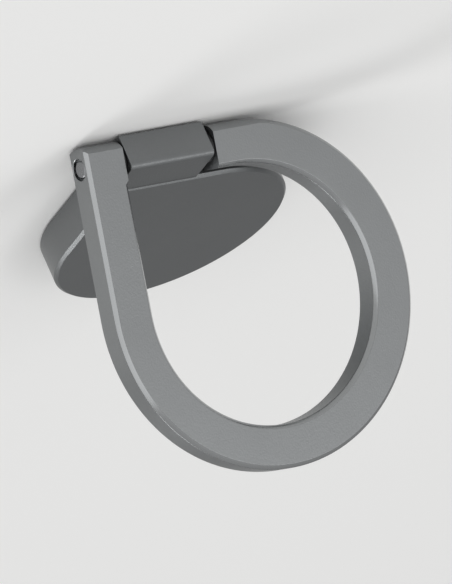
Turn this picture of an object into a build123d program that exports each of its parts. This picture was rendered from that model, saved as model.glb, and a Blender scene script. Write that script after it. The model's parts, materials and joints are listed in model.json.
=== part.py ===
from build123d import *
from math import cos, radians, sin
import os

# Phone ring holder: a teardrop finger loop on a friction hinge, carried by a low teardrop base that
# turns on a round foot stuck to a flat surface. Millimetres, +Z out of that surface, +X along the
# hinge pin, +Y from the base towards the hinge. The origin is on the sticky face, on the swivel axis,
# which is also the centre of the round part of the base and of the folded loop.

# Finger loop
LOOP_RADIUS = 15.4
LOOP_BAND = 3.9
LOOP_THICKNESS = 2.9
LOOP_BEVEL = 0.35
LOOP_CORNER = 0.6
LOOP_OPEN_ANGLE = 66.0

# Hinge: the pin is fixed in the loop and turns in a sprung sleeve in the base's tongue
LEFT_GAP = 0.3
RIGHT_GAP = 0.45
PIN_RADIUS = 0.8
PIN_HEIGHT = 2.1
PIN_INSET = 1.9
PIN_IN_RIGHT_END = 3.2
PIN_BEVEL = 0.12
PIN_RECESS = 0.12
PIN_MOUTH_GAP = 0.17
PIN_MOUTH_DEPTH = 0.4
SLEEVE_WALL = 0.17
SLEEVE_SLIT = 0.3
WASHER_RADIUS = 1.35
WASHER_PLAY = 0.05

# Base body and its tongue
BASE_GAP = 0.45
BASE_TOP = 3.7
BASE_RIM_BEVEL = 0.3
SKIRT_GAP = 0.2
TONGUE_WIDTH = 8.7
TONGUE_REACH = 1.55
TONGUE_ROOT = 0.3
TONGUE_TOP_ROUND = 0.5
TONGUE_BOTTOM_ROUND = 0.2
TONGUE_BEVEL = 0.12

# Swivel: foot, pad and what holds the base body on the foot
PAD_THICKNESS = 0.5
FOOT_RADIUS = 9.2
FOOT_THICKNESS = 1.1
FOOT_BEVEL = 0.2
FOOT_SIDE_GAP = 0.35
RIVET_POCKET_RADIUS = 3.8
RIVET_POCKET_DEPTH = 0.65
RIVET_HEAD_RADIUS = 3.4
RIVET_HEAD_THICKNESS = 0.32
RIVET_RADIUS = 2.0
RIVET_DEPTH_IN_BASE = 1.2
SPRING_RADIUS = 3.2
SPRING_THICKNESS = 0.16
GLIDE_OUTER_RADIUS = 8.6
GLIDE_INNER_RADIUS = 5.0
GLIDE_THICKNESS = 0.2

# Radial clearances of the fits
PUSH_FIT = 0.01
RUNNING_FIT = 0.03

# Places worked out from the sizes above; the tongue's top is level with the folded loop's
LOOP_INNER_RADIUS = LOOP_RADIUS - LOOP_BAND
BASE_RADIUS = LOOP_INNER_RADIUS - BASE_GAP
PIN_Y = LOOP_RADIUS - PIN_INSET
NOTCH_LEFT = -LOOP_INNER_RADIUS
TONGUE_LEFT = NOTCH_LEFT + LEFT_GAP
TONGUE_RIGHT = TONGUE_LEFT + TONGUE_WIDTH
TONGUE_LENGTH = PIN_Y + TONGUE_REACH - BASE_RADIUS + TONGUE_ROOT
TONGUE_TOP = PIN_HEIGHT + LOOP_THICKNESS / 2
NOTCH_RIGHT = TONGUE_RIGHT + RIGHT_GAP
PIN_LEFT = PIN_RECESS - LOOP_RADIUS
PIN_RIGHT = NOTCH_RIGHT + PIN_IN_RIGHT_END
SLEEVE_INNER_RADIUS = PIN_RADIUS + RUNNING_FIT
SLEEVE_RADIUS = SLEEVE_INNER_RADIUS + SLEEVE_WALL
FOOT_TOP = PAD_THICKNESS + FOOT_THICKNESS
BASE_ROOF = FOOT_TOP + GLIDE_THICKNESS
POCKET_ROOF = PAD_THICKNESS + RIVET_POCKET_DEPTH
RIVET_HEAD_TOP = POCKET_ROOF - 2 * SPRING_THICKNESS
RIVET_TOP = BASE_ROOF + RIVET_DEPTH_IN_BASE

# The loop is drawn flat on its own plane, which leans as the loop stands: its origin is on the pin
# axis, its y points from the loop to the hinged edge, and its normal is the loop's front.
LEAN_COS = cos(radians(LOOP_OPEN_ANGLE))
LEAN_SIN = sin(radians(LOOP_OPEN_ANGLE))
PIN_POINT = (0, PIN_Y, PIN_HEIGHT)
LOOP_PLANE = Plane(origin=PIN_POINT, x_dir=(1, 0, 0), z_dir=(0, LEAN_SIN, LEAN_COS))
LOOP_SECTION = Plane(origin=PIN_POINT, x_dir=(0, LEAN_COS, -LEAN_SIN), z_dir=(1, 0, 0))


def teardrop(radius):
    """A round outline with one square corner, at upper left, centred on the round part."""
    with BuildSketch() as outline:
        with BuildLine():
            Polyline((0, radius), (-radius, radius), (-radius, 0))
            CenterArc((0, 0), radius, 180, 270)
        make_face()
    return outline.sketch


def pin_section(x):
    """A plane square to the pin at the given x, with its origin on the pin axis."""
    return Plane(origin=(x, PIN_Y, PIN_HEIGHT), x_dir=(0, 1, 0), z_dir=(1, 0, 0))


def hinge_washer(gap_left, gap_right):
    """A thin washer round the pin, which fills the gap at one end of the tongue but for its play."""
    with BuildPart() as washer:
        with BuildSketch(pin_section(gap_left + WASHER_PLAY)):
            Circle(WASHER_RADIUS)
            Circle(PIN_RADIUS + RUNNING_FIT, mode=Mode.SUBTRACT)
        extrude(amount=gap_right - gap_left - 2 * WASHER_PLAY)
    return washer.part


# Finger loop: a flat band with bevelled rims, then cut through where the tongue goes
with BuildPart() as finger_loop:
    with BuildSketch(LOOP_PLANE.offset(-LOOP_THICKNESS / 2)) as band:
        with Locations((0, -PIN_Y)):
            add(teardrop(LOOP_RADIUS))
            add(teardrop(LOOP_INNER_RADIUS), mode=Mode.SUBTRACT)
        corner = band.vertices().sort_by(Axis.Y).group_by(Axis.X)[0][-1]
        fillet(corner, LOOP_CORNER)
    extrude(amount=LOOP_THICKNESS)
    faces_front_to_back = finger_loop.faces().sort_by(Axis(PIN_POINT, LOOP_PLANE.z_dir))
    chamfer(faces_front_to_back[0].edges() + faces_front_to_back[-1].edges(), LOOP_BEVEL)
    with BuildSketch(LOOP_PLANE):
        with Locations(((NOTCH_LEFT + NOTCH_RIGHT) / 2, PIN_INSET - LOOP_BAND / 2)):
            Rectangle(NOTCH_RIGHT - NOTCH_LEFT, 2 * LOOP_BAND)
    extrude(amount=LOOP_THICKNESS, both=True, mode=Mode.SUBTRACT)

    # The hinged edge is crowned about the pin, so that it clears the surface as the loop swings over
    with BuildSketch(LOOP_SECTION):
        Rectangle(2 * PIN_INSET, 2 * LOOP_THICKNESS, align=(Align.MIN, Align.CENTER))
        Circle(PIN_INSET, mode=Mode.SUBTRACT)
    extrude(amount=LOOP_RADIUS, both=True, mode=Mode.SUBTRACT)

    # Pin hole: right through the square corner, wider at its mouth, and blind in the other end
    with BuildSketch(pin_section(-LOOP_RADIUS)):
        Circle(PIN_RADIUS + PUSH_FIT)
    extrude(amount=LOOP_RADIUS + PIN_RIGHT, mode=Mode.SUBTRACT)
    with BuildSketch(pin_section(-LOOP_RADIUS)):
        Circle(PIN_RADIUS + PIN_MOUTH_GAP)
    extrude(amount=PIN_MOUTH_DEPTH, mode=Mode.SUBTRACT)

# Hinge pin: a plain dowel whose end shows, just below the side of the square corner
with BuildPart() as hinge_pin:
    with BuildSketch(pin_section(PIN_LEFT)):
        Circle(PIN_RADIUS)
    extrude(amount=PIN_RIGHT - PIN_LEFT - PUSH_FIT)
    chamfer(hinge_pin.edges(), PIN_BEVEL)

# Friction sleeve: rolled spring strip with an open slit, as long as the tongue
with BuildPart() as friction_sleeve:
    with BuildSketch(pin_section(TONGUE_LEFT)):
        Circle(SLEEVE_RADIUS)
        Circle(SLEEVE_INNER_RADIUS, mode=Mode.SUBTRACT)
        Rectangle(SLEEVE_RADIUS, SLEEVE_SLIT, align=(Align.MAX, Align.CENTER), mode=Mode.SUBTRACT)
    extrude(amount=TONGUE_WIDTH)

# Hinge tongue: a block with its end rounded, which becomes the back of the base body
with BuildPart() as hinge_tongue:
    with BuildSketch(pin_section(TONGUE_LEFT)) as side:
        with Locations((TONGUE_REACH, SKIRT_GAP - PIN_HEIGHT)):
            Rectangle(TONGUE_LENGTH, TONGUE_TOP - SKIRT_GAP, align=(Align.MAX, Align.MIN))
        lower_corner, upper_corner = side.vertices().group_by(Axis.X)[-1].sort_by(Axis.Y)
        fillet(upper_corner, TONGUE_TOP_ROUND)
        fillet(lower_corner, TONGUE_BOTTOM_ROUND)
    extrude(amount=TONGUE_WIDTH)
    chamfer(hinge_tongue.faces().filter_by(Axis.X).edges(), TONGUE_BEVEL)

# Base body: teardrop boss inside the folded loop, hollow below, with the tongue for the hinge
with BuildPart() as base_body:
    with BuildSketch(Plane.XY.offset(SKIRT_GAP)):
        add(teardrop(BASE_RADIUS))
    extrude(amount=BASE_TOP - SKIRT_GAP)
    chamfer(base_body.faces().sort_by(Axis.Z)[-1].edges(), BASE_RIM_BEVEL)
    add(hinge_tongue.part)
    with BuildSketch(pin_section(TONGUE_LEFT)):
        Circle(SLEEVE_RADIUS + PUSH_FIT)
    extrude(amount=TONGUE_WIDTH, mode=Mode.SUBTRACT)
    with BuildSketch(Plane.XY):
        Circle(FOOT_RADIUS + FOOT_SIDE_GAP)
    extrude(amount=BASE_ROOF, mode=Mode.SUBTRACT)
    with BuildSketch(Plane.XY.offset(BASE_ROOF)):
        Circle(RIVET_RADIUS + PUSH_FIT)
    extrude(amount=RIVET_DEPTH_IN_BASE, mode=Mode.SUBTRACT)

# Foot disc: the base body turns on it, and the rivet's head sits in a pocket below
with BuildPart() as foot_disc:
    with BuildSketch(Plane.XY.offset(PAD_THICKNESS)):
        Circle(FOOT_RADIUS)
    extrude(amount=FOOT_THICKNESS)
    chamfer(foot_disc.faces().sort_by(Axis.Z)[-1].edges(), FOOT_BEVEL)
    with Locations(foot_disc.faces().sort_by(Axis.Z)[0]):
        CounterBoreHole(RIVET_RADIUS + RUNNING_FIT, RIVET_POCKET_RADIUS, RIVET_POCKET_DEPTH)

# Swivel rivet: flat head below the foot, shank fixed in the roof of the base body
with BuildPart() as swivel_rivet:
    with BuildSketch(Plane.XY.offset(RIVET_HEAD_TOP - RIVET_HEAD_THICKNESS)):
        Circle(RIVET_HEAD_RADIUS)
    extrude(amount=RIVET_HEAD_THICKNESS)
    with BuildSketch(Plane.XY.offset(RIVET_HEAD_TOP)):
        Circle(RIVET_RADIUS)
    extrude(amount=RIVET_TOP - RIVET_HEAD_TOP)

# Swivel spring: a dished washer between the rivet's head and the foot
with BuildPart() as swivel_spring:
    with BuildSketch(Plane.XZ):
        with BuildLine():
            Polyline(
                (RIVET_RADIUS + RUNNING_FIT, POCKET_ROOF - SPRING_THICKNESS),
                (SPRING_RADIUS, RIVET_HEAD_TOP),
                (SPRING_RADIUS, RIVET_HEAD_TOP + SPRING_THICKNESS),
                (RIVET_RADIUS + RUNNING_FIT, POCKET_ROOF),
                close=True,
            )
        make_face()
    revolve(axis=Axis.Z)

# Swivel glide: flat plastic ring between the foot and the roof of the base body
with BuildPart() as swivel_glide:
    with BuildSketch(Plane.XY.offset(FOOT_TOP)):
        Circle(GLIDE_OUTER_RADIUS)
        Circle(GLIDE_INNER_RADIUS, mode=Mode.SUBTRACT)
    extrude(amount=GLIDE_THICKNESS)

# Adhesive pad: a plain disc under the foot
with BuildPart() as adhesive_pad:
    with BuildSketch(Plane.XY):
        Circle(FOOT_RADIUS)
    extrude(amount=PAD_THICKNESS)

PIECES = {
    "finger_loop": finger_loop.part,
    "hinge_pin": hinge_pin.part,
    "friction_sleeve": friction_sleeve.part,
    "left_hinge_washer": hinge_washer(NOTCH_LEFT, TONGUE_LEFT),
    "right_hinge_washer": hinge_washer(TONGUE_RIGHT, NOTCH_RIGHT),
    "base_body": base_body.part,
    "foot_disc": foot_disc.part,
    "swivel_rivet": swivel_rivet.part,
    "swivel_spring": swivel_spring.part,
    "swivel_glide": swivel_glide.part,
    "adhesive_pad": adhesive_pad.part,
}

os.makedirs("parts", exist_ok=True)
for name, piece in PIECES.items():
    piece.label = name
    export_step(piece, f"parts/{name}.step")
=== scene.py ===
"""Looks of the phone ring holder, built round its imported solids.

The loop, the pin, the base body, the hinge washers and the sticky pad are modelled again here with
finer curves and broken edges. Every other solid keeps its shape and gets its finish. A piece is
modelled in millimetres and comes to metres as it is settled. The frame is the part's own: +X along
the hinge pin, +Y from the base towards the hinge, +Z out of the surface that the pad sticks to.
"""

import json
import logging
import math
from collections.abc import Callable, Iterable, Mapping, Sequence
from dataclasses import dataclass, replace
from enum import Enum

import bmesh
import bpy
from bmesh.types import BMEdge, BMesh, BMFace, BMVert
from mathutils import Matrix, Vector


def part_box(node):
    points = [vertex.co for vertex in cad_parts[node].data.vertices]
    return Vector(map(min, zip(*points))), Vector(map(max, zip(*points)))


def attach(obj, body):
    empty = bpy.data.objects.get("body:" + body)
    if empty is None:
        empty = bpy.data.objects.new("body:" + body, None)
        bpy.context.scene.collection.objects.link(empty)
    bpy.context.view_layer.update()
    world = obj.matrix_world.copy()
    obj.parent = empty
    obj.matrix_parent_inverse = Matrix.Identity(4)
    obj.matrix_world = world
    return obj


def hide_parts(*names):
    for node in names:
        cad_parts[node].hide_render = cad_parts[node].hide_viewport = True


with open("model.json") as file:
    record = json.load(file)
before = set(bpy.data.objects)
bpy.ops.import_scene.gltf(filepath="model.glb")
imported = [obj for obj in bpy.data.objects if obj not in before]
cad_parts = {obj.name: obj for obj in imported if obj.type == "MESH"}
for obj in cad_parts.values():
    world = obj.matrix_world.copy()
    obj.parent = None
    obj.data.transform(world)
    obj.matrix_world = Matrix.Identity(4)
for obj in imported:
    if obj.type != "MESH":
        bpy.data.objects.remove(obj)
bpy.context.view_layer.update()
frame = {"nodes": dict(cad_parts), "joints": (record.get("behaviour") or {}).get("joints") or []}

log = logging.getLogger("ring_holder")

# Metres in a millimetre, and radians in a turn
MM = 0.001
TURN = 2 * math.pi

# Turns of the round side of a teardrop, which ends in a square corner
ARC_TURNS = 3 / 4

# Millimetres that a sharp edge is broken by, and that two places may differ by and still be one
EDGE_BREAK = 0.05
NEAR = 0.001

# Strips of a flat bevel, and of a bevel that rounds a broken edge
FLAT = 1
ROUNDED = 2

# Faces that meet at more than this angle keep a crease between them
SHARP_ANGLE = math.radians(28)

# Places of a colour Mix node's sockets, whose names its other sockets have too
MIX_A, MIX_B, MIX_RESULT = 6, 7, 2

# Metres from ring to ring in a wave texture of scale 1
WAVE_PERIOD = TURN / 20


class Body(Enum):
    """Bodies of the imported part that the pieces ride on."""

    FOOT = "foot"
    BASE = "base"
    LOOP = "loop"


class Slot(Enum):
    """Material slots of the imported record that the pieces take."""

    LOOP_METAL = "loop_metal"
    BASE_METAL = "base_metal"
    PIN_STEEL = "pin_steel"
    WASHER_PLASTIC = "washer_plastic"
    PAD_FOAM = "pad_foam"


class Side(Enum):
    """Ends of the tongue. The left one is towards -X."""

    LEFT = "left"
    RIGHT = "right"


class Bevelled(Enum):
    """What a bevel is cut along."""

    EDGES = "EDGES"
    CORNERS = "VERTICES"


class Combining(Enum):
    """Ways to make one shape of two closed ones."""

    CUT = "DIFFERENCE"
    JOIN = "UNION"


class Axis(Enum):
    """Axes that a turned shape can stand on, each with the way from +Z to it."""

    X = Matrix.Rotation(TURN / 4, 3, "Y")
    Z = Matrix.Identity(3)


def linear(hex_colour: str) -> tuple[float, float, float, float]:
    """Turn an sRGB hex colour into linear light.

    Args:
        hex_colour: A hash and six hex digits.

    Returns:
        Linear red, green and blue, and an alpha of 1.
    """
    channels = (int(hex_colour[i : i + 2], 16) / 255 for i in (1, 3, 5))
    red, green, blue = (
        c / 12.92 if c <= 0.04045 else ((c + 0.055) / 1.055) ** 2.4 for c in channels
    )
    return red, green, blue, 1.0


def add_node(
    tree: bpy.types.NodeTree,
    kind: str,
    inputs: Mapping[str | int, object],
    **settings: object,
) -> bpy.types.Node:
    """Add a node to a tree, with its settings and links.

    Args:
        tree: The tree that gets the node.
        kind: Blender's name for the type of node.
        inputs: For each input socket, a value to set or an output socket to link from.
        settings: The node's own properties.

    Returns:
        The new node.
    """
    node = tree.nodes.new(kind)
    for name, value in settings.items():
        setattr(node, name, value)
    for socket, value in inputs.items():
        if isinstance(value, bpy.types.NodeSocket):
            tree.links.new(value, node.inputs[socket])
        else:
            node.inputs[socket].default_value = value
    return node


@dataclass(frozen=True)
class Finish:
    """A finish: a colour that drifts in soft patches, and a fine relief that also varies the gloss.

    The colour drifts to the shade, and the roughness goes from smoothest low in the relief to
    roughest on its tops. A kind of finish gives its own relief, and the rest is the same for all.
    """

    name: str
    colour: str
    shade: str
    smoothest: float
    roughest: float
    metallic: float
    patch_mm: float
    relief_mm: float

    def relief(self, tree: bpy.types.NodeTree, place: bpy.types.NodeSocket) -> bpy.types.NodeSocket:
        """Draw the surface's fine relief, as a height from 0 to 1 at each place."""
        raise NotImplementedError

    def material(self) -> bpy.types.Material:
        """Make the finish's material.

        Returns:
            A new material with its nodes.
        """
        material = bpy.data.materials.new(self.name)
        material.use_nodes = True
        tree = material.node_tree
        tree.nodes.clear()
        place = add_node(tree, "ShaderNodeTexCoord", {}).outputs["Object"]
        height = self.relief(tree, place)
        patches = add_node(
            tree,
            "ShaderNodeTexNoise",
            {"Vector": place, "Scale": 1 / (self.patch_mm * MM), "Detail": 3.0, "Roughness": 0.6},
        )
        colour = add_node(
            tree,
            "ShaderNodeMix",
            {
                "Factor": patches.outputs["Fac"],
                MIX_A: linear(self.colour),
                MIX_B: linear(self.shade),
            },
            data_type="RGBA",
        )
        gloss = add_node(
            tree,
            "ShaderNodeMapRange",
            {"Value": height, "To Min": self.smoothest, "To Max": self.roughest},
        )
        bump = add_node(
            tree,
            "ShaderNodeBump",
            {"Height": height, "Strength": 1.0, "Distance": self.relief_mm * MM},
        )
        shader = add_node(
            tree,
            "ShaderNodeBsdfPrincipled",
            {
                "Base Color": colour.outputs[MIX_RESULT],
                "Metallic": self.metallic,
                "Roughness": gloss.outputs["Result"],
                "Normal": bump.outputs["Normal"],
            },
        )
        add_node(tree, "ShaderNodeOutputMaterial", {"Surface": shader.outputs["BSDF"]})
        return material


@dataclass(frozen=True)
class GrainyFinish(Finish):
    """A finish with an even grain, as blasting, etching or a mould leaves it."""

    grain_mm: float

    def relief(self, tree: bpy.types.NodeTree, place: bpy.types.NodeSocket) -> bpy.types.NodeSocket:
        """Draw the grain as fine noise, of the size given in millimetres.

        Args:
            tree: The material's node tree.
            place: Object coordinates, in metres.

        Returns:
            A height from 0 to 1.
        """
        grain = add_node(
            tree,
            "ShaderNodeTexNoise",
            {"Vector": place, "Scale": 1 / (self.grain_mm * MM), "Detail": 2.0, "Roughness": 0.55},
        )
        return grain.outputs["Fac"]


@dataclass(frozen=True)
class TurnedFinish(Finish):
    """A finish with fine rings about a centre, as a cutting or grinding tool leaves it."""

    ring_mm: float
    centre: tuple[float, float, float] = (0.0, 0.0, 0.0)
    tilt: tuple[float, float, float] = (0.0, 0.0, 0.0)

    def relief(self, tree: bpy.types.NodeTree, place: bpy.types.NodeSocket) -> bpy.types.NodeSocket:
        """Draw the rings, a little uneven, about the centre and square to the tilted z axis.

        Args:
            tree: The material's node tree.
            place: Object coordinates, in metres.

        Returns:
            A height from 0 to 1.
        """
        moved = add_node(
            tree,
            "ShaderNodeMapping",
            {"Vector": place, "Location": self.centre, "Rotation": self.tilt},
            vector_type="TEXTURE",
        )
        rings = add_node(
            tree,
            "ShaderNodeTexWave",
            {
                "Vector": moved.outputs["Vector"],
                "Scale": WAVE_PERIOD / (self.ring_mm * MM),
                "Distortion": 1.5,
                "Detail": 2.0,
                "Detail Scale": 2.0,
            },
            wave_type="RINGS",
            rings_direction="Z",
        )
        return rings.outputs["Fac"]


@dataclass(frozen=True)
class RolledFinish(Finish):
    """A finish with long fine lines, as rolled or drawn metal strip has."""

    line_mm: float
    length_mm: float

    def relief(self, tree: bpy.types.NodeTree, place: bpy.types.NodeSocket) -> bpy.types.NodeSocket:
        """Draw the lines as noise that is stretched along x.

        Args:
            tree: The material's node tree.
            place: Object coordinates, in metres.

        Returns:
            A height from 0 to 1.
        """
        across = 1 / (self.line_mm * MM)
        along = 1 / (self.length_mm * MM)
        stretched = add_node(
            tree, "ShaderNodeMapping", {"Vector": place, "Scale": (along, across, across)}
        )
        lines = add_node(
            tree,
            "ShaderNodeTexNoise",
            {"Vector": stretched.outputs["Vector"], "Scale": 1.0, "Detail": 2.0, "Roughness": 0.5},
        )
        return lines.outputs["Fac"]


@dataclass(frozen=True)
class FoamFinish(Finish):
    """A finish with small dimples, as foam has."""

    cell_mm: float

    def relief(self, tree: bpy.types.NodeTree, place: bpy.types.NodeSocket) -> bpy.types.NodeSocket:
        """Draw the cells, lowest at their middles.

        Args:
            tree: The material's node tree.
            place: Object coordinates, in metres.

        Returns:
            A height from 0 to 1.
        """
        cells = add_node(
            tree, "ShaderNodeTexVoronoi", {"Vector": place, "Scale": 1 / (self.cell_mm * MM)}
        )
        return cells.outputs["Distance"]


# Aluminium, bead-blasted and anodised grey: an even satin. The pits of the blasting are a few
# hundredths of a millimetre wide, and are drawn coarser than that so that they show.
BLASTED = GrainyFinish(
    name="blasted_anodised_aluminium",
    colour="#919394",
    shade="#8B8D8E",
    smoothest=0.36,
    roughest=0.5,
    metallic=1.0,
    patch_mm=6.0,
    relief_mm=0.016,
    grain_mm=0.16,
)
# Aluminium as on the loop, drawn a little darker: painted shade, for the shade that falls on the
# base
BLASTED_PAINTED_SHADE = replace(BLASTED, name="anodised_aluminium_painted_shade", colour="#808283", shade="#7A7C7D")
# The loop's aluminium, cut after blasting and then anodised: glossier, with fine tool rings, which
# are drawn coarser than a tool leaves them
BRIGHT_CUT = TurnedFinish(
    name="bright_cut_aluminium",
    colour="#9A9C9D",
    shade="#939596",
    smoothest=0.18,
    roughest=0.26,
    metallic=1.0,
    patch_mm=5.0,
    relief_mm=0.0015,
    ring_mm=0.12,
)
# Steel, centreless ground, with the end turned flat: fairly bright, with rings about the axis
GROUND_STEEL = TurnedFinish(
    name="ground_steel",
    colour="#8E8F91",
    shade="#858688",
    smoothest=0.25,
    roughest=0.35,
    metallic=1.0,
    patch_mm=1.5,
    relief_mm=0.002,
    ring_mm=0.16,
)
# Hardened spring strip: dull blue-grey with rolling lines
SPRING_STEEL = RolledFinish(
    name="rolled_spring_steel",
    colour="#6C7076",
    shade="#5F6369",
    smoothest=0.3,
    roughest=0.45,
    metallic=1.0,
    patch_mm=3.0,
    relief_mm=0.002,
    line_mm=0.08,
    length_mm=6.0,
)
# Mild steel sheet, stamped: grey with rolling lines
STAMPED_STEEL = RolledFinish(
    name="stamped_steel",
    colour="#9A9B9D",
    shade="#8C8D90",
    smoothest=0.32,
    roughest=0.48,
    metallic=1.0,
    patch_mm=5.0,
    relief_mm=0.003,
    line_mm=0.12,
    length_mm=8.0,
)
# Acetal, moulded black, matt, with the mould's fine etch; its black is also painted shade in the
# hinge gaps
BLACK_ACETAL_AND_GAP_SHADE = GrainyFinish(
    name="black_acetal_and_gap_shade",
    colour="#1A1B1C",
    shade="#141516",
    smoothest=0.45,
    roughest=0.6,
    metallic=0.0,
    patch_mm=2.0,
    relief_mm=0.004,
    grain_mm=0.1,
)
# Acetal, natural white: waxy, with the mould's fine etch
WHITE_ACETAL = GrainyFinish(
    name="white_acetal",
    colour="#E4E3DE",
    shade="#DBDAD4",
    smoothest=0.4,
    roughest=0.55,
    metallic=0.0,
    patch_mm=4.0,
    relief_mm=0.004,
    grain_mm=0.15,
)
# Acrylic foam tape, dark grey: its closed cells show as fine dimples
FOAM_TAPE = FoamFinish(
    name="acrylic_foam_tape",
    colour="#333436",
    shade="#2A2B2D",
    smoothest=0.6,
    roughest=0.9,
    metallic=0.0,
    patch_mm=3.0,
    relief_mm=0.03,
    cell_mm=0.25,
)


def with_parts(faces: Sequence[BMFace]) -> list[BMFace | BMEdge | BMVert]:
    """Give faces with their edges and corners, each of them once.

    Args:
        faces: Faces of a shape.

    Returns:
        What an operator on those faces takes, in an order that is the same each run.
    """
    edges = dict.fromkeys(e for f in faces for e in f.edges)
    verts = dict.fromkeys(v for f in faces for v in f.verts)
    return [*faces, *edges, *verts]


def extrude(shape: BMesh, faces: Sequence[BMFace], move: Sequence[float]) -> list[BMFace]:
    """Extrude faces of a shape.

    Args:
        shape: The shape that is changed.
        faces: The faces to extrude.
        move: How far the new faces go.

    Returns:
        The new faces.
    """
    made = bmesh.ops.extrude_face_region(shape, geom=with_parts(faces))["geom"]
    bmesh.ops.translate(shape, vec=move, verts=[g for g in made if isinstance(g, BMVert)])
    return [g for g in made if isinstance(g, BMFace)]


def add_bevel(
    shape: BMesh,
    places: Iterable[BMEdge | BMVert],
    offset: float,
    segments: int,
    bevelled: Bevelled = Bevelled.EDGES,
) -> None:
    """Bevel edges or corners of a shape, flat with one strip and rounded with more.

    Args:
        shape: The shape that is changed.
        places: The edges or corners to bevel.
        offset: How far the bevel reaches from each of them.
        segments: How many strips the bevel has.
        bevelled: Which of the two they are.
    """
    bmesh.ops.bevel(
        shape,
        geom=list(places),
        offset=offset,
        offset_type="OFFSET",
        segments=segments,
        profile=0.5,
        affect=bevelled.value,
        clamp_overlap=True,
        material=-1,
    )


def spin(
    shape: BMesh,
    start: Sequence[BMFace | BMEdge | BMVert],
    centre: Sequence[float],
    turns: float,
    steps: int,
) -> list[BMFace | BMEdge | BMVert]:
    """Spin part of a shape about an upright axis, and close a full turn.

    Args:
        shape: The shape that is changed.
        start: What is spun.
        centre: A point on the axis.
        turns: How far it goes round, up to one turn.
        steps: How many steps it takes.

    Returns:
        What lies at the end of the spin.
    """
    made = bmesh.ops.spin(
        shape,
        geom=list(start),
        cent=centre,
        axis=(0, 0, 1),
        dvec=(0, 0, 0),
        angle=TURN * turns,
        steps=steps,
        use_merge=turns == 1,
    )
    return made["geom_last"]


def edges_where(shape: BMesh, test: Callable[[Vector], bool]) -> list[BMEdge]:
    """Choose the edges of a shape whose two ends both pass a test on their place."""
    return [e for e in shape.edges if all(test(v.co) for v in e.verts)]


def disc_profile(
    low: float, high: float, radius: float, edge: float, hole: float = 0.0
) -> list[tuple[float, float]]:
    """Draw the section of a disc, ring or rod with bevelled outer edges.

    Args:
        low: Where it starts along its axis.
        high: Where it ends.
        radius: Its outer radius.
        edge: Width of the bevels.
        hole: Radius of its hole, if it has one.

    Returns:
        A profile to turn.
    """
    return [
        (low, hole),
        (low, radius - edge),
        (low + edge, radius),
        (high - edge, radius),
        (high, radius - edge),
        (high, hole),
    ]


def turned(profile: Sequence[tuple[float, float]], axis: Axis, steps: int) -> BMesh:
    """Turn a profile about an axis through the origin.

    Args:
        profile: Corners of the section, each as the place along the axis and the radius there.
        axis: The axis to turn about.
        steps: How many steps a full turn has.

    Returns:
        A closed shape. A profile that starts and ends off the axis is closed into a ring.
    """
    shape = bmesh.new()
    corners = [shape.verts.new((radius, 0, along)) for along, radius in profile]
    ends = list(zip(corners, corners[1:]))
    if min(profile[0][1], profile[-1][1]) > 0:
        ends.append((corners[-1], corners[0]))
    for pair in ends:
        shape.edges.new(pair)
    spin(shape, shape.verts[:] + shape.edges[:], (0, 0, 0), 1, steps)
    bmesh.ops.remove_doubles(shape, verts=shape.verts[:], dist=NEAR)
    bmesh.ops.rotate(shape, cent=(0, 0, 0), matrix=axis.value, verts=shape.verts[:])
    bmesh.ops.recalc_face_normals(shape, faces=shape.faces[:])
    return shape


def as_mesh(name: str, shape: BMesh) -> bpy.types.Mesh:
    """Make a mesh of a shape.

    Args:
        name: The mesh's name.
        shape: The shape, which is used up.

    Returns:
        The mesh.
    """
    mesh = bpy.data.meshes.new(name)
    shape.to_mesh(mesh)
    shape.free()
    return mesh


def add_object(name: str, data: bpy.types.ID) -> bpy.types.Object:
    """Put an object into the scene.

    Args:
        name: The object's name.
        data: Its mesh, light or camera.

    Returns:
        The object.
    """
    added = bpy.data.objects.new(name, data)
    bpy.context.scene.collection.objects.link(added)
    return added


def combine(shape: BMesh, other: BMesh, way: Combining) -> BMesh:
    """Cut one closed shape out of another, or join the two.

    Args:
        shape: The first shape, which is used up.
        other: What is cut out of it or joined to it, which is used up.
        way: Which of the two is done.

    Returns:
        The combined shape.
    """
    holders = []
    for part in (shape, other):
        bmesh.ops.recalc_face_normals(part, faces=part.faces[:])
        holders.append(add_object("combine", as_mesh("combine", part)))
    boolean = holders[0].modifiers.new("combine", "BOOLEAN")
    boolean.operation = way.value
    boolean.solver = "EXACT"
    boolean.object = holders[1]
    result = bmesh.new()
    result.from_object(holders[0], bpy.context.evaluated_depsgraph_get())
    # The solver can leave out a sliver between points that almost line up
    bmesh.ops.holes_fill(result, edges=[e for e in result.edges if e.is_boundary], sides=3)
    for holder in holders:
        bpy.data.meshes.remove(holder.data)
    return result


def settle(
    name: str,
    shape: BMesh,
    node: str,
    body: Body,
    materials: Sequence[bpy.types.Material],
) -> None:
    """Make a finished shape a piece of the object, in place of a solid.

    Args:
        name: The piece's name.
        shape: Its shape in millimetres, in place, which is used up.
        node: The solid that it stands for.
        body: The body that it rides on.
        materials: Its materials, in the order that its faces number them.
    """
    bmesh.ops.recalc_face_normals(shape, faces=shape.faces[:])
    bmesh.ops.scale(shape, vec=(MM, MM, MM), verts=shape.verts[:])
    open_edges = sum(len(e.link_faces) != 2 for e in shape.edges)
    mesh = as_mesh(name, shape)
    for material in materials:
        mesh.materials.append(material)
    mesh.shade_smooth()
    mesh.set_sharp_from_angle(angle=SHARP_ANGLE)
    piece = add_object(name, mesh)
    flatten = piece.modifiers.new("flat faces stay flat", "WEIGHTED_NORMAL")
    flatten.keep_sharp = True
    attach(piece, body.value)
    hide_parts(node)
    mesh.calc_loop_triangles()
    log.info("%s: %d triangles, %d open edges", name, len(mesh.loop_triangles), open_edges)


def dress_solid(node: str, material: bpy.types.Material) -> None:
    """Give a solid that stays as it is its finish.

    Args:
        node: The solid's name.
        material: Its finish.
    """
    solid = frame["nodes"][node]
    solid.data.materials.clear()
    solid.data.materials.append(material)
    log.info("%s: keeps its solid", node)


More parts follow.
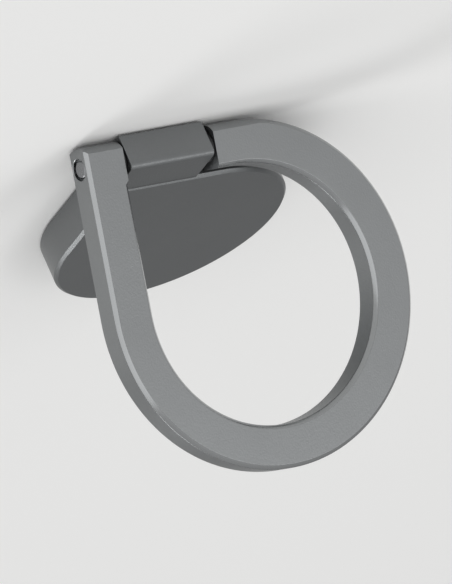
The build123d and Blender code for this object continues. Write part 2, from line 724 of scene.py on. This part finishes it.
def solid_box(node: str) -> tuple[Vector, Vector]:
    """Give a solid's lowest and highest corner, in millimetres."""
    low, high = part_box(node)
    return low / MM, high / MM


def loop_hinge() -> tuple[Vector, float]:
    """Give a point on the pin axis, in millimetres, and the loop's lean from folded, in radians."""
    hinge = next(j for j in frame["joints"] if j["name"] == "loop_hinge")
    return Vector(hinge["pos_m"]) / MM, -math.radians(hinge["range_deg"][0])


@dataclass
class LoopAssembly:
    """The finger loop and the hinge pin that is fixed in it. Sizes are in millimetres.

    The loop is modelled flat, with the pin axis at the origin and the hinged edge towards +Y, and
    then leans as it stands. Its bevels are the faces whose normals have a z within bevel_slant.
    """

    band: float = 3.9
    thickness: float = 2.9
    bevel: float = 0.35
    bevel_slant: tuple[float, float] = (0.3, 0.95)
    corner: float = 0.6
    stub: float = 2.05
    pin_hole: float = 0.81
    mouth_radius: float = 0.97
    mouth_depth: float = 0.4
    mouth_break: float = 0.04
    pin_bevel: float = 0.12
    arc_steps: int = 216
    crown_strips: int = 18
    corner_columns: int = 5
    pin_steps: int = 64

    def __post_init__(self) -> None:
        """Read the outer sizes from the solids, and work out how the loop stands."""
        self.pin_point, self.lean = loop_hinge()
        self.radius = solid_box("finger_loop")[1].x
        self.pin_inset = self.radius - self.pin_point.y
        self.middle = Vector((0, self.pin_inset - self.radius, 0))
        self.stand = Matrix.Translation(self.pin_point) @ Matrix.Rotation(-self.lean, 4, "X")

    def bright_cut(self) -> TurnedFinish:
        """Give the finish of the bevels, with its tool rings about the loop's middle."""
        centre = tuple(self.stand @ self.middle * MM)
        return replace(BRIGHT_CUT, centre=centre, tilt=(-self.lean, 0.0, 0.0))

    def ground_steel(self) -> TurnedFinish:
        """Give the finish of the pin, with its rings about the pin's axis."""
        centre = tuple(self.pin_point * MM)
        return replace(GROUND_STEEL, centre=centre, tilt=(0.0, TURN / 4, 0.0))

    def edge_limit(self, x: float, z: float) -> float:
        """Say how far the hinged edge reaches.

        Args:
            x: Place along the pin.
            z: Height above the middle of the band.

        Returns:
            The furthest y: the crown about the pin, or the rounding of the square corner if that
            is less.
        """
        crown = math.sqrt(self.pin_inset**2 - z**2)
        from_centre = min(x + self.radius - self.corner, 0.0)
        rounding = math.sqrt(max(self.corner**2 - from_centre**2, 0.0))
        return min(crown, self.pin_inset - self.corner + rounding)

    def bar(self) -> BMesh:
        """Sweep the bevelled section down the straight leg, round the arc and into the stub.

        The notch for the tongue is milled after the rims are bevelled, so beside it the leg's inner
        corners are square.

        Returns:
            The loop with a flat hinged edge and no pin hole.
        """
        shape = bmesh.new()
        bmesh.ops.create_grid(shape, x_segments=1, y_segments=1, size=0.5)
        bmesh.ops.scale(shape, vec=(self.band, self.thickness, 1), verts=shape.verts[:])
        for offset, segments in ((self.bevel, FLAT), (EDGE_BREAK, ROUNDED)):
            add_bevel(shape, shape.verts[:], offset, segments, Bevelled.CORNERS)
        upright = Matrix.Rotation(TURN / 4, 3, "X")
        bmesh.ops.rotate(shape, cent=(0, 0, 0), matrix=upright, verts=shape.verts[:])
        leg_middle = self.band / 2 - self.radius
        bmesh.ops.translate(shape, vec=(leg_middle, self.pin_inset, 0), verts=shape.verts[:])
        (leg_foot,) = shape.faces
        for length in (self.band - self.bevel, self.bevel, self.radius - self.band):
            (leg_foot,) = extrude(shape, [leg_foot], (0, -length, 0))
        inner_wall = self.band - self.radius
        for vert in shape.verts:
            beside_notch = vert.co.y > self.pin_inset - self.band + NEAR
            if beside_notch and vert.co.x > inner_wall - self.bevel - 2 * EDGE_BREAK:
                vert.co.x = min(vert.co.x + self.bevel, inner_wall)
        arc_end = spin(shape, with_parts([leg_foot]), self.middle, ARC_TURNS, self.arc_steps)
        extrude(shape, [g for g in arc_end if isinstance(g, BMFace)], (-self.stub, 0, 0))
        return shape

    def crown(self, shape: BMesh) -> None:
        """Split the hinged edge into strips and bring them in to the crown about the pin.

        Args:
            shape: The swept loop, which is changed.
        """
        strips, columns = self.crown_strips, self.corner_columns
        cuts = [
            (Vector((0, 0, self.thickness * (i / strips - 0.5))), Vector((0, 0, 1)))
            for i in range(1, strips)
        ]
        cuts += [
            (Vector((self.corner * i / columns - self.radius, 0, 0)), Vector((1, 0, 0)))
            for i in range(1, columns + 1)
        ]
        for place, direction in cuts:
            hinged = [f for f in shape.faces if max(v.co.y for v in f.verts) > 0]
            bmesh.ops.bisect_plane(
                shape, geom=with_parts(hinged), dist=NEAR, plane_co=place, plane_no=direction
            )
        for vert in shape.verts:
            if vert.co.y > 0:
                vert.co.y = min(vert.co.y, self.edge_limit(vert.co.x, vert.co.z))

    def drill(self, shape: BMesh) -> BMesh:
        """Cut the pin hole, through the leg and into the stub, with a wider mouth on the left.

        Args:
            shape: The crowned loop, which is used up.

        Returns:
            The drilled loop.
        """
        left = -self.radius
        pin_end = solid_box("hinge_pin")[1].x
        edge = self.mouth_break
        drill = turned(
            [
                (left - edge, 0),
                (left - edge, self.mouth_radius + 2 * edge),
                (left + edge, self.mouth_radius),
                (left + self.mouth_depth, self.mouth_radius),
                (left + self.mouth_depth, self.pin_hole),
                (pin_end, self.pin_hole),
                (pin_end, 0),
            ],
            Axis.X,
            self.pin_steps,
        )
        return combine(shape, drill, Combining.CUT)

    def mark_bevels(self, shape: BMesh) -> None:
        """Give the cut bevels the second material.

        Args:
            shape: The drilled loop, whose faces are numbered.
        """
        crown_from = math.sqrt(self.pin_inset**2 - self.thickness**2 / 4) - 2 * EDGE_BREAK
        steepest, flattest = self.bevel_slant
        shape.normal_update()
        for face in shape.faces:
            slanted = steepest < abs(face.normal.z) < flattest
            face.material_index = int(slanted and face.calc_center_median().y < crown_from)

    def build_loop(self, metal: bpy.types.Material, bright: bpy.types.Material) -> None:
        """Model the finger loop.

        Args:
            metal: Finish of its faces.
            bright: Finish of its bevels.
        """
        shape = self.bar()
        self.crown(shape)
        shape = self.drill(shape)
        bmesh.ops.recalc_face_normals(shape, faces=shape.faces[:])
        self.mark_bevels(shape)
        bmesh.ops.transform(shape, matrix=self.stand, verts=shape.verts[:])
        settle("teardrop_loop", shape, "finger_loop", Body.LOOP, [metal, bright])

    def build_pin(self, steel: bpy.types.Material) -> None:
        """Model the hinge pin, a dowel with bevelled ends.

        Args:
            steel: Its finish.
        """
        low, high = solid_box("hinge_pin")
        profile = disc_profile(low.x, high.x, (high.z - low.z) / 2, self.pin_bevel)
        shape = turned(profile, Axis.X, self.pin_steps)
        bmesh.ops.translate(shape, vec=self.pin_point, verts=shape.verts[:])
        settle("pin_dowel", shape, "hinge_pin", Body.LOOP, [steel])


@dataclass
class BaseAssembly:
    """The base body with its tongue, the hinge washers, and what turns inside the base.

    Sizes are in millimetres.
    """

    rim_bevel: float = 0.3
    rim_break: float = 0.04
    tongue_left: float = -11.2
    tongue_right: float = -2.5
    tongue_root: float = 0.3
    tongue_top: float = 3.55
    tongue_top_round: float = 0.5
    tongue_bottom_round: float = 0.2
    tongue_bevel: float = 0.12
    sleeve_bore: float = 1.01
    foot_recess: float = 9.55
    recess_roof: float = 1.8
    rivet_hole: float = 2.01
    rivet_top: float = 3.0
    washer_hole: float = 0.83
    washer_bevel: float = 0.06
    clear: float = 1.0
    arc_steps: int = 216
    top_round_steps: int = 8
    bottom_round_steps: int = 4
    recess_steps: int = 144
    hinge_steps: int = 64

    def __post_init__(self) -> None:
        """Read the outer sizes from the solid."""
        self.pin_point, _ = loop_hinge()
        low, high = solid_box("base_body")
        self.radius = high.x
        self.skirt = low.z
        self.top = high.z
        self.tongue_end = high.y

    def boss(self) -> BMesh:
        """Draw the teardrop at the skirt's height, raise it to the top and bevel its rim.

        Returns:
            The base body without its tongue, recess and bores.
        """
        shape = bmesh.new()
        start = shape.verts.new((-self.radius, 0, self.skirt))
        arc_end = spin(shape, [start], (0, 0, 0), ARC_TURNS, self.arc_steps)
        last = [g for g in arc_end if isinstance(g, BMVert)]
        (corner,) = bmesh.ops.extrude_vert_indiv(shape, verts=last)["verts"]
        corner.co = (-self.radius, self.radius, self.skirt)
        shape.edges.new((corner, start))
        bmesh.ops.contextual_create(shape, geom=shape.edges[:])
        extrude(shape, shape.faces[:], (0, 0, self.top - self.skirt))

        rim = edges_where(shape, lambda p: p.z > self.top - NEAR)
        add_bevel(shape, rim, self.rim_bevel, FLAT)
        shape.normal_update()
        rim_lines = [
            e
            for e in edges_where(shape, lambda p: p.z > self.top - self.rim_bevel - NEAR)
            if e.calc_face_angle(0.0) > SHARP_ANGLE
            and abs(e.verts[0].co.z - e.verts[1].co.z) < NEAR
        ]
        add_bevel(shape, rim_lines, self.rim_break, ROUNDED)
        return shape

    def tongue(self) -> BMesh:
        """Model the tongue, a block with its end rounded that reaches into the boss.

        Returns:
            The tongue, which stands a little proud of the boss's left wall, without its bore.
        """
        low = Vector((self.tongue_left, self.radius - self.tongue_root, self.skirt))
        high = Vector((self.tongue_right, self.tongue_end, self.tongue_top))
        shape = bmesh.new()
        bmesh.ops.create_cube(shape, size=1)
        bmesh.ops.scale(shape, vec=high - low, verts=shape.verts[:])
        bmesh.ops.translate(shape, vec=(low + high) / 2, verts=shape.verts[:])

        at_end = self.tongue_end - NEAR
        upper = edges_where(shape, lambda p: p.y > at_end and p.z > self.tongue_top - NEAR)
        add_bevel(shape, upper, self.tongue_top_round, self.top_round_steps)
        lower = edges_where(shape, lambda p: p.y > at_end and p.z < self.skirt + NEAR)
        add_bevel(shape, lower, self.tongue_bottom_round, self.bottom_round_steps)
        for x in (self.tongue_left, self.tongue_right):
            flank = edges_where(shape, lambda p: abs(p.x - x) < NEAR)
            add_bevel(shape, flank, self.tongue_bevel, ROUNDED)
        return shape

    def hollow(self, shape: BMesh) -> BMesh:
        """Cut the recess for the foot, the hole for the rivet and the bore for the sleeve.

        Args:
            shape: The whole body, which is used up.

        Returns:
            The body with its recess and bores.
        """
        below = self.skirt - self.clear
        recess = turned(
            [
                (below, 0),
                (below, self.foot_recess),
                (self.recess_roof, self.foot_recess),
                (self.recess_roof, self.rivet_hole),
                (self.rivet_top, self.rivet_hole),
                (self.rivet_top, 0),
            ],
            Axis.Z,
            self.recess_steps,
        )
        bore_left = -self.radius - self.clear
        bore_right = self.tongue_right + self.clear
        bore = turned(
            [
                (bore_left, 0),
                (bore_left, self.sleeve_bore),
                (bore_right, self.sleeve_bore),
                (bore_right, 0),
            ],
            Axis.X,
            self.hinge_steps,
        )
        bmesh.ops.translate(bore, vec=self.pin_point, verts=bore.verts[:])
        return combine(combine(shape, recess, Combining.CUT), bore, Combining.CUT)

    def build_body(self, metal: bpy.types.Material) -> None:
        """Model the base body and dress it in its metal."""
        shape = self.hollow(combine(self.boss(), self.tongue(), Combining.JOIN))
        settle("teardrop_base", shape, "base_body", Body.BASE, [metal])

    def build_washer(self, side: Side, plastic: bpy.types.Material) -> None:
        """Model one hinge washer.

        Args:
            side: The end of the tongue that it is at.
            plastic: Its finish.
        """
        name = f"{side.value}_washer_ring"
        node = f"{side.value}_hinge_washer"
        low, high = solid_box(node)
        outer = (high.z - low.z) / 2
        profile = disc_profile(low.x, high.x, outer, self.washer_bevel, self.washer_hole)
        shape = turned(profile, Axis.X, self.hinge_steps)
        bmesh.ops.translate(shape, vec=(0, *self.pin_point.yz), verts=shape.verts[:])
        settle(name, shape, node, Body.BASE, [plastic])

    def dress_inside(
        self, spring: bpy.types.Material, steel: bpy.types.Material, plastic: bpy.types.Material
    ) -> None:
        """Dress the solids that the base hides.

        Args:
            spring: Finish of the hinge's sleeve and of the swivel's dished washer.
            steel: Finish of the rivet.
            plastic: Finish of the glide.
        """
        dress_solid("friction_sleeve", spring)
        dress_solid("swivel_rivet", steel)
        dress_solid("swivel_spring", spring)
        dress_solid("swivel_glide", plastic)


@dataclass
class FootAssembly:
    """The foot disc and the sticky pad under it. Sizes are in millimetres."""

    pad_edge: float = 0.08
    pad_steps: int = 144

    def build_pad(self, foam: bpy.types.Material) -> None:
        """Model the pad, a disc of foam tape with soft edges.

        Args:
            foam: Its finish.
        """
        low, high = solid_box("adhesive_pad")
        profile = disc_profile(low.z, high.z, high.x, self.pad_edge)
        shape = turned(profile, Axis.Z, self.pad_steps)
        settle("foam_pad", shape, "adhesive_pad", Body.FOOT, [foam])

    def dress_disc(self, steel: bpy.types.Material) -> None:
        """Dress the foot disc, which keeps its solid, in its steel."""
        dress_solid("foot_disc", steel)


@dataclass(frozen=True)
class Softbox:
    """A square soft light that faces the object.

    Its place and the length of its side are in metres. Its radiance is how bright its face is,
    where 1 is white.
    """

    name: str
    place: tuple[float, float, float]
    side: float
    radiance: float

    def hang(self) -> None:
        """Hang the light, out of the camera's sight."""
        lamp = bpy.data.lights.new(self.name, "AREA")
        lamp.size = self.side
        lamp.energy = self.radiance * math.pi * self.side**2
        holder = add_object(self.name, lamp)
        holder.location = self.place
        holder.rotation_euler = Vector(self.place).to_track_quat("Z", "Y").to_euler()
        holder.visible_camera = False


@dataclass(frozen=True)
class Studio:
    """A plain pale floor, soft light and a pale surround. Lengths are in metres."""

    floor_half: float = 2.0
    floor_colour: str = "#F2F2F1"
    floor_roughness: float = 0.9
    softboxes: tuple[Softbox, ...] = (
        Softbox("side_softbox", (-1.13, 0.54, 0.64), 1.4, 0.75),
        Softbox("key_softbox", (-0.6, -0.98, 0.83), 0.6, 4.0),
        Softbox("near_softbox", (0.1, 0.15, 0.16), 0.1, 1.6),
    )
    bright_side: tuple[float, float, float] = (0.0, 0.7, 0.7)
    darkest: float = 0.15
    brightest: float = 0.8

    def floor(self) -> None:
        """Lay the floor at the height of the sticky face."""
        shape = bmesh.new()
        bmesh.ops.create_grid(shape, x_segments=1, y_segments=1, size=self.floor_half)
        floor = add_object("floor", as_mesh("floor", shape))
        material = bpy.data.materials.new("pale_paper")
        material.use_nodes = True
        shader = material.node_tree.nodes["Principled BSDF"]
        shader.inputs["Base Color"].default_value = linear(self.floor_colour)
        shader.inputs["Roughness"].default_value = self.floor_roughness
        floor.data.materials.append(material)

    def surround(self) -> None:
        """Surround the object with soft light that falls off away from its bright side."""
        world = bpy.data.worlds.new("pale_surround")
        world.use_nodes = True
        bpy.context.scene.world = world
        tree = world.node_tree
        tree.nodes.clear()
        direction = add_node(tree, "ShaderNodeTexCoord", {}).outputs["Generated"]
        towards = add_node(
            tree,
            "ShaderNodeVectorMath",
            {0: direction, 1: self.bright_side},
            operation="DOT_PRODUCT",
        )
        strength = add_node(
            tree,
            "ShaderNodeMapRange",
            {
                "Value": towards.outputs["Value"],
                "From Min": -1.0,
                "To Min": self.darkest,
                "To Max": self.brightest,
            },
        )
        sky = add_node(
            tree,
            "ShaderNodeBackground",
            {"Color": linear("#FFFFFF"), "Strength": strength.outputs["Result"]},
        )
        add_node(tree, "ShaderNodeOutputWorld", {"Surface": sky.outputs["Background"]})

    def build(self) -> None:
        """Set up the floor, the lights and the surround."""
        self.floor()
        for softbox in self.softboxes:
            softbox.hang()
        self.surround()
        bpy.context.scene.view_settings.view_transform = "Standard"


@dataclass(frozen=True)
class PhotoCamera:
    """The camera of the photograph, nearer in by a longer lens.

    Angles are in degrees, and the lens, the sensor and the point that it is aimed at are in
    millimetres. Its distance from there and how near and far it sees are in metres.
    """

    azimuth: float = 214.7
    elevation: float = 20.1
    roll: float = 155.9
    lens: float = 900.0
    sensor: float = 36.0
    aim: tuple[float, float, float] = (-1.16, 5.81, 12.63)
    distance: float = 1.277
    nearest: float = 0.1
    furthest: float = 10.0

    def place(self) -> None:
        """Set up the camera."""
        data = bpy.data.cameras.new("photo_camera")
        data.lens = self.lens
        data.sensor_width = self.sensor
        data.clip_start = self.nearest
        data.clip_end = self.furthest
        turn, rise = math.radians(self.azimuth), math.radians(self.elevation)
        back = Vector(
            (math.sin(turn) * math.cos(rise), -math.cos(turn) * math.cos(rise), math.sin(rise))
        )
        facing = back.to_track_quat("Z", "Y").to_matrix().to_4x4()
        camera = add_object("photo_camera", data)
        camera.matrix_world = (
            Matrix.Translation(Vector(self.aim) * MM + back * self.distance)
            @ facing
            @ Matrix.Rotation(math.radians(self.roll), 4, "Z")
        )
        bpy.context.scene.camera = camera


def main() -> None:
    """Set up the camera and the studio, then build every sub-assembly in order."""
    logging.basicConfig(level=logging.INFO, format="%(message)s")
    PhotoCamera().place()
    Studio().build()

    loop = LoopAssembly()
    steel = loop.ground_steel().material()
    loop.build_loop(BLASTED.material(), loop.bright_cut().material())
    loop.build_pin(steel)

    base = BaseAssembly()
    # The base's aluminium carries painted shade: it is drawn darker than the loop's
    base.build_body(BLASTED_PAINTED_SHADE.material())
    # The washers' black also stands in for the shade in the hinge gaps: partly painted shade
    black = BLACK_ACETAL_AND_GAP_SHADE.material()
    for side in Side:
        base.build_washer(side, black)
    base.dress_inside(SPRING_STEEL.material(), steel, WHITE_ACETAL.material())

    foot = FootAssembly()
    foot.build_pad(FOAM_TAPE.material())
    foot.dress_disc(STAMPED_STEEL.material())


if __name__ == "__main__":
    main()
